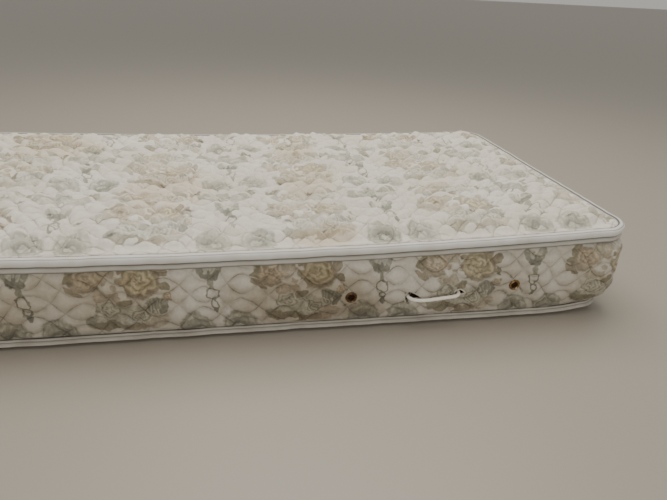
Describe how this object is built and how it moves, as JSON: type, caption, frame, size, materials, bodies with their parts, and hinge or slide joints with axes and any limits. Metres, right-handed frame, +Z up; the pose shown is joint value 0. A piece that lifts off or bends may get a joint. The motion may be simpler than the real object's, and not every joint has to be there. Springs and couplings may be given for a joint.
{
  "type": "single mattress",
  "caption": "Old quilted single mattress with taped edges, a floral cover, a cord handle and round brass ventilators.",
  "frame": {"origin": "on the floor, under the middle of the mattress with its handle", "axes": "+X along the length, towards the end nearer the handle; +Y across, away from the side with the handle; +Z up"},
  "size_m": [1.8868, 0.8979, 0.2404],
  "materials": {
    "border_damask": "quilted printed damask, dingy, grey-green and brown flowers on a cream ground",
    "panel_damask": "quilted printed damask, off-white with pale grey-green and beige flowers, faint stains",
    "floor_panel": "plain woven ticking, dusty",
    "edge_tape": "off-white knitted tape, soiled along the seams",
    "white_cord": "round braided cord, off-white",
    "tarnished_brass": "pressed brass, tarnished brown with rust",
    "vent_mesh": "dark woven wire, dirty"
  },
  "bodies": {
    "root": {"border": "border_damask", "top_panel": "panel_damask", "bottom_panel": "floor_panel", "top_tape": "edge_tape", "bottom_tape": "edge_tape", "handle_cord": "white_cord", "handle_eyelet": "tarnished_brass", "vent_left_ring": "tarnished_brass", "vent_left_mesh": "vent_mesh", "vent_right_ring": "tarnished_brass", "vent_right_mesh": "vent_mesh"}
  },
  "joints": []
}
